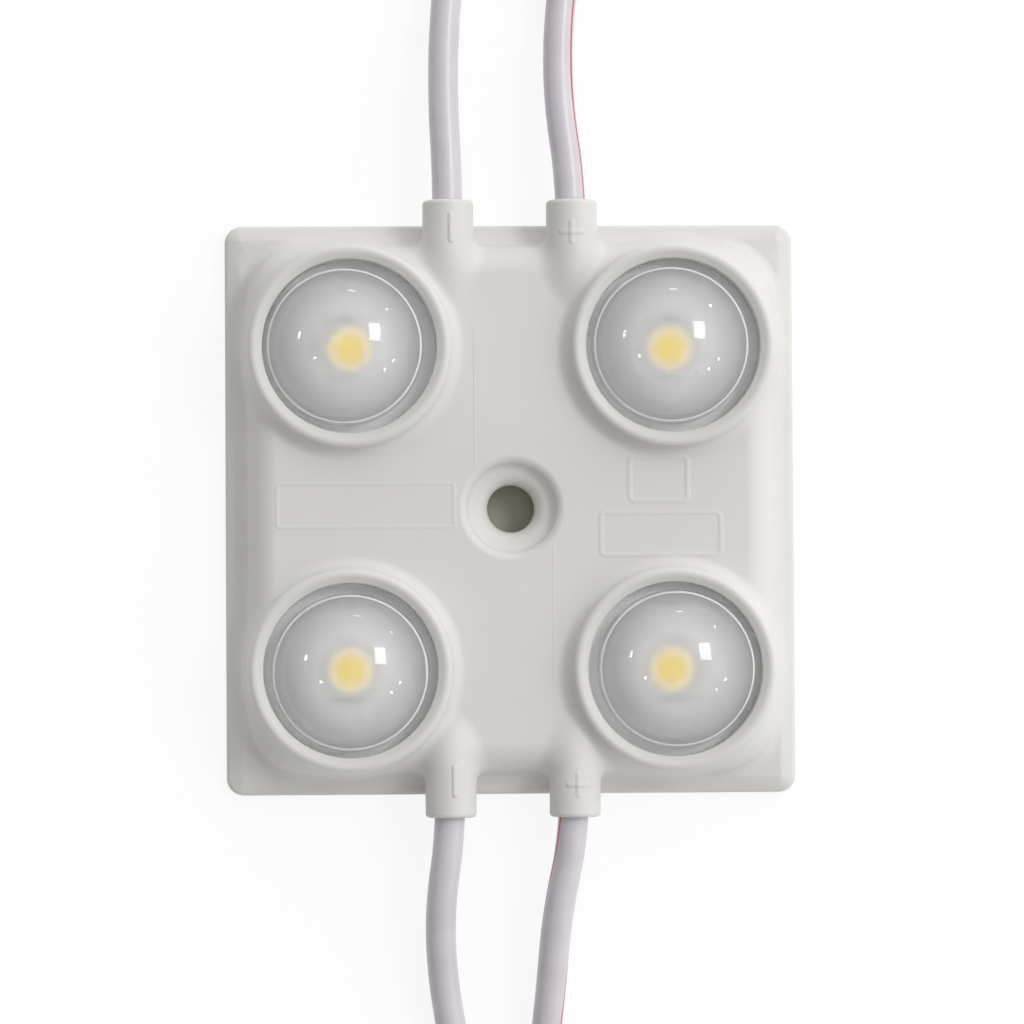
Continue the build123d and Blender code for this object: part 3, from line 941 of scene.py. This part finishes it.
def body_material():
    """White moulded plastic with a satin face, and the lines and marks moulded on it."""
    material, tree, surface = new_material("white body plastic")
    line = raised_line()
    height = 0.0
    for middle, half, corner, width, rise in frames_and_lines:
        mark = use_effect(tree, line, Middle_X=middle[0] * mm, Middle_Y=middle[1] * mm, Half_X=half[0] * mm,
                          Half_Y=half[1] * mm, Corner=corner * mm, Line_Width=width * mm)
        height = calculate(tree, "ADD", height, calculate(tree, "MULTIPLY", mark["Height"], rise * mm))
    facing = put(tree, "ShaderNodeSeparateXYZ", {"Vector": place(tree)}).outputs["Z"]
    height = calculate(tree, "MULTIPLY", height, between(tree, facing, 2.5 * mm, 3.2 * mm))
    skin = use_effect(tree, moulded, Grain_Size=0.16 * mm, Wave_Size=9 * mm)
    height = calculate(tree, "ADD", height, calculate(tree, "MULTIPLY", skin["Relief"], 0.003 * mm))
    bump = put(tree, "ShaderNodeBump", {"Height": height, "Distance": 1.0, "Strength": 1.0})
    tone = between(tree, skin["Tone"], 0.3, 0.7)
    fill(tree, surface, {
        "Base Color": blend_colours(tree, tone, (0.66, 0.65, 0.625, 1), (0.68, 0.67, 0.645, 1)),
        "Roughness": blend_values(tree, skin["Grain"], 0.50, 0.60),
        "Normal": bump.outputs["Normal"],
    })
    return material


body_plastic = body_material()
body = body_piece(body_plastic)
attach(body, "root")
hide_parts("housing")


# Floor and lamps
# A plain white floor with a painted shadow under the screw hole, a window-like lamp above and to the right,
# a low strip on the left and another beyond the far side, in an even white room.

shadow_patch_radius, shadow_patch_edge = 4, 2
plain_share = 0.87


def floor_material():
    """White for the camera and for glossy and clear surfaces, with part of the shadow kept. The
    patch that shows through the screw hole is plain, and is painted dark olive grey as a painted shadow."""
    material, tree, surface = new_material("white floor")
    spot = place(tree)
    from_middle = put(tree, "ShaderNodeVectorMath", {0: spot}, operation="LENGTH").outputs["Value"]
    outside = between(tree, from_middle, shadow_patch_radius * mm, (shadow_patch_radius + shadow_patch_edge) * mm)
    # Painted shadow: under the body the floor is coloured dark olive grey, on top of the real shadow there.
    colour = blend_colours(tree, outside, (0.37, 0.36, 0.29, 1), (1, 1, 1, 1))
    fill(tree, surface, {"Base Color": colour, "Roughness": 0.8})
    white = put(tree, "ShaderNodeEmission", {"Color": (1, 1, 1, 1), "Strength": 1.0})
    path = put(tree, "ShaderNodeLightPath").outputs
    direct = calculate(tree, "MAXIMUM", path["Is Camera Ray"],
                       calculate(tree, "MAXIMUM", path["Is Glossy Ray"], path["Is Transmission Ray"]))
    share = calculate(tree, "MULTIPLY", calculate(tree, "MULTIPLY", direct, outside), plain_share)
    mix = put(tree, "ShaderNodeMixShader", {0: share, 1: surface.outputs[0], 2: white.outputs[0]})
    tree.links.new(mix.outputs[0], tree.nodes["Material Output"].inputs["Surface"])
    return material


floor_half, floor_drop = 0.6, 0.00003
floor = new_piece("floor", [(-floor_half, -floor_half, -floor_drop), (floor_half, -floor_half, -floor_drop),
                            (floor_half, floor_half, -floor_drop), (-floor_half, floor_half, -floor_drop)],
                  [(0, 1, 2, 3)], [floor_material()])

# The room's light from all round, and what each direction adds to it
all_round, from_right, from_far_side, from_both_ends = 0.56, 0.54, 0.35, 0.55
world = bpy.data.worlds.new("room")
bpy.context.scene.world = world
world.use_nodes = True
room = world.node_tree
heading = put(room, "ShaderNodeSeparateXYZ", {
    "Vector": put(room, "ShaderNodeTexCoord").outputs["Generated"]}).outputs
rightward = calculate(room, "MULTIPLY", heading["X"], from_right)
farward = calculate(room, "MULTIPLY", heading["Y"], from_far_side)
squared = calculate(room, "MULTIPLY", heading["Y"], heading["Y"])
endward = calculate(room, "MULTIPLY", squared, from_both_ends)
sideways_light = calculate(room, "ADD", calculate(room, "ADD", rightward, farward), endward)
soft_light = calculate(room, "ADD", sideways_light, all_round)
path = put(room, "ShaderNodeLightPath").outputs
direct = calculate(room, "MAXIMUM", path["Is Camera Ray"], path["Is Transmission Ray"])
strength = calculate(room, "MAXIMUM", direct, soft_light)
fill(room, room.nodes["Background"], {"Color": (1, 1, 1, 1), "Strength": strength})


def lamp(name, azimuth, elevation, distance, width, height, power, roll=0):
    """A soft rectangular lamp that faces the object. Azimuth 0 is towards +X, 90 towards +Y."""
    data = bpy.data.lights.new(name, "AREA")
    data.shape = "RECTANGLE"
    data.size = width
    data.size_y = height
    data.energy = power
    light = bpy.data.objects.new(name, data)
    a, e = radians(azimuth), radians(elevation)
    direction = Vector((cos(a) * cos(e), sin(a) * cos(e), sin(e)))
    turn = direction.to_track_quat("Z", "Y").to_matrix() @ Matrix.Rotation(radians(roll), 3, "Z")
    light.location = direction * distance
    light.rotation_euler = turn.to_euler()
    bpy.context.scene.collection.objects.link(light)


# The small lamps show as the glints on the domes
lamp("window lamp", 28.5, 48, 0.6, 0.15, 0.21, 0.9, roll=62)
lamp("left strip", 163, 29.5, 0.5, 0.02, 0.06, 0.08, roll=90)
lamp("far strip", 84, 15, 0.5, 0.06, 0.015, 0.04)
for azimuth, elevation in ((44, 15), (-13.6, 25), (-28.5, 31.6), (198, 50)):
    lamp("glint lamp", azimuth, elevation, 0.5, 0.022, 0.022, 0.04)


# Camera
# Almost straight above the object, a little to the lower left of its middle, and turned by
# less than a degree.

view_width, view_distance = 65.04 * mm, 300 * mm
sideways, upward = 0.143 * mm, -0.146 * mm
tilt = Euler((radians(-1.81), radians(2.07), radians(0.28))).to_matrix().to_4x4()
camera_data = bpy.data.cameras.new("camera")
camera_data.sensor_width = 36
camera_data.lens = camera_data.sensor_width * view_distance / view_width
camera = bpy.data.objects.new("camera", camera_data)
camera.matrix_world = tilt.inverted() @ Matrix.Translation((sideways, upward, view_distance))
bpy.context.scene.collection.objects.link(camera)
bpy.context.scene.camera = camera
bpy.context.scene.view_settings.view_transform = "Standard"
